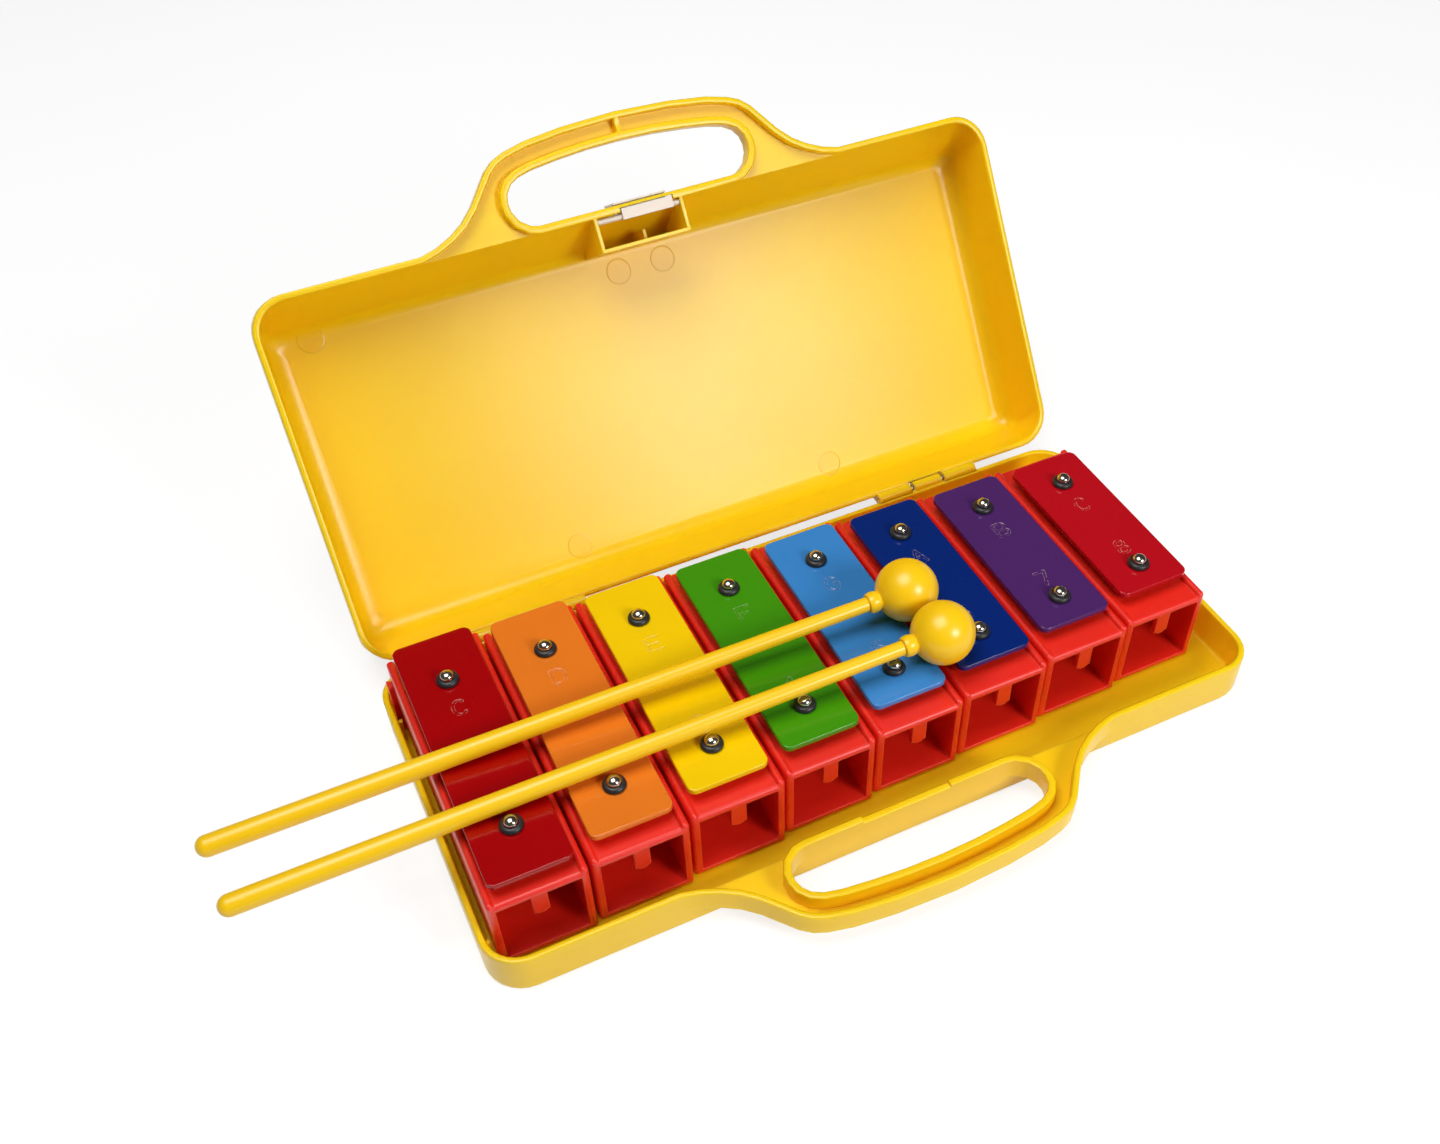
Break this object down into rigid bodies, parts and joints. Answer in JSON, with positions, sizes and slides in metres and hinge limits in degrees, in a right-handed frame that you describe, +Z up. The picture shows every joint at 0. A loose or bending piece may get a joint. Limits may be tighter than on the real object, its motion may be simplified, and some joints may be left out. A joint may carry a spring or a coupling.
{
  "type": "resonator bells",
  "caption": "Tuned steel bars on separate resonator boxes in a hinged plastic carrying case with a handle and latch, with a pair of ball-headed mallets.",
  "frame": {"origin": "centre of the case base's underside, with the case open on a table", "axes": "+X along the row towards the high notes, +Y towards the hinge, +Z up"},
  "size_m": [0.3766, 0.2797, 0.1603],
  "materials": {
    "case_yellow": "moulded polypropylene, satin gloss",
    "resonator_red": "moulded plastic, satin gloss",
    "hinge_steel": "drawn wire",
    "screw_nickel": "polished nickel plate",
    "grommet_rubber": "black rubber, slightly shiny",
    "latch_milky": "natural milky plastic",
    "mallet_stick_yellow": "smooth moulded plastic",
    "mallet_head_yellow": "smooth moulded plastic",
    "enamel_c": "glossy enamel on steel",
    "enamel_d": "glossy enamel on steel",
    "enamel_e": "glossy enamel on steel",
    "enamel_f": "glossy enamel on steel",
    "enamel_g": "glossy enamel on steel",
    "enamel_a": "glossy enamel on steel",
    "enamel_b": "glossy enamel on steel",
    "enamel_c_high": "glossy enamel on steel"
  },
  "bodies": {
    "case_base": {"case_base": "case_yellow", "hinge_pin_left": "hinge_steel", "hinge_pin_right": "hinge_steel"},
    "case_lid": {"case_lid": "case_yellow"},
    "latch": {"latch": "latch_milky"},
    "bell_c": {"block_c": "resonator_red", "bar_c": "enamel_c", "grommet_c_front": "grommet_rubber", "grommet_c_back": "grommet_rubber", "screw_c_front": "screw_nickel", "screw_c_back": "screw_nickel"},
    "bell_d": {"block_d": "resonator_red", "bar_d": "enamel_d", "grommet_d_front": "grommet_rubber", "grommet_d_back": "grommet_rubber", "screw_d_front": "screw_nickel", "screw_d_back": "screw_nickel"},
    "bell_e": {"block_e": "resonator_red", "bar_e": "enamel_e", "grommet_e_front": "grommet_rubber", "grommet_e_back": "grommet_rubber", "screw_e_front": "screw_nickel", "screw_e_back": "screw_nickel"},
    "bell_f": {"block_f": "resonator_red", "bar_f": "enamel_f", "grommet_f_front": "grommet_rubber", "grommet_f_back": "grommet_rubber", "screw_f_front": "screw_nickel", "screw_f_back": "screw_nickel"},
    "bell_g": {"block_g": "resonator_red", "bar_g": "enamel_g", "grommet_g_front": "grommet_rubber", "grommet_g_back": "grommet_rubber", "screw_g_front": "screw_nickel", "screw_g_back": "screw_nickel"},
    "bell_a": {"block_a": "resonator_red", "bar_a": "enamel_a", "grommet_a_front": "grommet_rubber", "grommet_a_back": "grommet_rubber", "screw_a_front": "screw_nickel", "screw_a_back": "screw_nickel"},
    "bell_b": {"block_b": "resonator_red", "bar_b": "enamel_b", "grommet_b_front": "grommet_rubber", "grommet_b_back": "grommet_rubber", "screw_b_front": "screw_nickel", "screw_b_back": "screw_nickel"},
    "bell_c_high": {"block_c_high": "resonator_red", "bar_c_high": "enamel_c_high", "grommet_c_high_front": "grommet_rubber", "grommet_c_high_back": "grommet_rubber", "screw_c_high_front": "screw_nickel", "screw_c_high_back": "screw_nickel"},
    "mallet_1": {"mallet_1_head": "mallet_head_yellow", "mallet_1_stick": "mallet_stick_yellow"},
    "mallet_2": {"mallet_2_head": "mallet_head_yellow", "mallet_2_stick": "mallet_stick_yellow"}
  },
  "joints": [
    {"name": "lid_hinge", "type": "hinge", "parent": "case_base", "child": "case_lid", "pos_m": [0, 0.0714, 0.0178], "axis": [-1, 0, 0], "range_deg": [-125.14, 0]},
    {"name": "latch_pivot", "type": "hinge", "parent": "case_lid", "child": "latch", "pos_m": [0, 0.15222, 0.12845], "axis": [1, 0, 0], "range_deg": [0, 10]},
    {"name": "bell_c_high_lift", "type": "slide", "parent": "case_base", "child": "bell_c_high", "axis": [0, 0, 1], "range_m": [0, 0.036]},
    {"name": "bell_b_lift", "type": "slide", "parent": "bell_c_high", "child": "bell_b", "axis": [0, 0, 1], "range_m": [0, 0.036]},
    {"name": "bell_a_lift", "type": "slide", "parent": "bell_b", "child": "bell_a", "axis": [0, 0, 1], "range_m": [0, 0.036]},
    {"name": "bell_g_lift", "type": "slide", "parent": "bell_a", "child": "bell_g", "axis": [0, 0, 1], "range_m": [0, 0.036]},
    {"name": "bell_f_lift", "type": "slide", "parent": "bell_g", "child": "bell_f", "axis": [0, 0, 1], "range_m": [0, 0.036]},
    {"name": "bell_e_lift", "type": "slide", "parent": "bell_f", "child": "bell_e", "axis": [0, 0, 1], "range_m": [0, 0.036]},
    {"name": "bell_d_lift", "type": "slide", "parent": "bell_e", "child": "bell_d", "axis": [0, 0, 1], "range_m": [0, 0.036]},
    {"name": "bell_c_lift", "type": "slide", "parent": "bell_d", "child": "bell_c", "axis": [0, 0, 1], "range_m": [0, 0.036]},
    {"name": "mallet_1_lay_aside", "type": "hinge", "parent": "bell_c", "child": "mallet_1", "pos_m": [0.03085, -0.06365, 0.0329], "axis": [-0.9991, 0.0191, -0.0377], "range_deg": [-180, 0]},
    {"name": "mallet_2_lay_aside", "type": "hinge", "parent": "bell_c", "child": "mallet_2", "pos_m": [0.03223, -0.08775, 0.03275], "axis": [-0.9992, 0.0155, -0.0372], "range_deg": [-180, 0]}
  ],
  "couplings": [
    {"joint": "mallet_1_lay_aside", "follows": "lid_hinge", "ratio": 1.4384},
    {"joint": "mallet_2_lay_aside", "follows": "lid_hinge", "ratio": 1.4384}
  ]
}
